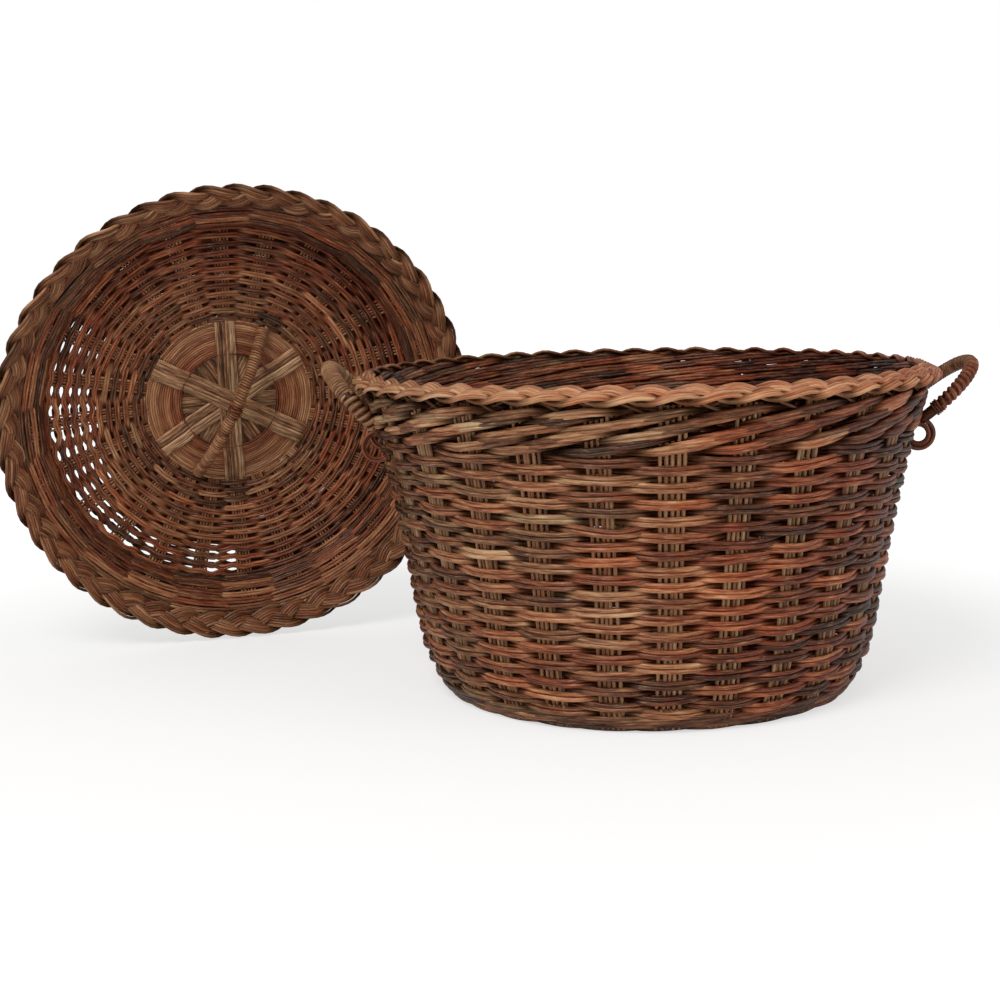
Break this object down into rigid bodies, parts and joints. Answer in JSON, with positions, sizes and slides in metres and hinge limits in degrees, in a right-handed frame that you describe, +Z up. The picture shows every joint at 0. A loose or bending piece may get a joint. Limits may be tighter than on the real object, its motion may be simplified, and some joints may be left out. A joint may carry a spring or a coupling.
{
  "type": "round lidded cane basket",
  "caption": "Round tapered woven cane basket with a plaited rim, two wrapped side handles and a loose dished lid with a bow handle.",
  "frame": {"origin": "centre of the flat underside of the basket, on the floor", "axes": "+Z up, +X to the right-hand handle, -Y to the front; the lid stands on edge at the back left"},
  "size_m": [0.9656, 0.571, 0.4937],
  "materials": {
    "split_cane": "stained and varnished cane with worn, dusty high spots",
    "fine_winding": "stained and varnished cane with worn, dusty high spots",
    "stake_cane": "stained and varnished cane with worn, dusty high spots",
    "weaver_cane": "stained and varnished cane with worn, dusty high spots",
    "waling_cane": "stained and varnished cane with worn, dusty high spots",
    "plaited_cane": "stained and varnished cane with worn, dusty high spots",
    "wrapping_cane": "stained and varnished cane with worn, dusty high spots",
    "handle_core_cane": "stained and varnished cane with worn, dusty high spots"
  },
  "bodies": {
    "basket": {"base_arms_lower": "split_cane", "base_arms_upper": "split_cane", "base_winding": "fine_winding", "base_stakes": "stake_cane", "base_weave": "weaver_cane", "foot_ring": "waling_cane", "side_stakes": "stake_cane", "side_weave": "weaver_cane", "upper_waling": "waling_cane", "border_crossings": "stake_cane", "rim_border": "plaited_cane", "handle_core_right": "handle_core_cane", "handle_wrap_right": "wrapping_cane", "handle_tails_right": "handle_core_cane", "handle_core_left": "handle_core_cane", "handle_wrap_left": "wrapping_cane", "handle_tails_left": "handle_core_cane"},
    "lid": {"lid_arms_lower": "split_cane", "lid_arms_upper": "split_cane", "lid_winding": "fine_winding", "lid_stakes": "stake_cane", "lid_weave": "weaver_cane", "lid_wall": "weaver_cane", "lid_plait": "plaited_cane", "lid_handle_core": "handle_core_cane", "lid_handle_wrap": "wrapping_cane", "lid_handle_knot": "wrapping_cane"}
  },
  "joints": [
    {"name": "lid_lift", "type": "slide", "parent": "basket", "child": "lid", "axis": [0, 0, 1], "range_m": [0, 0.35]}
  ]
}
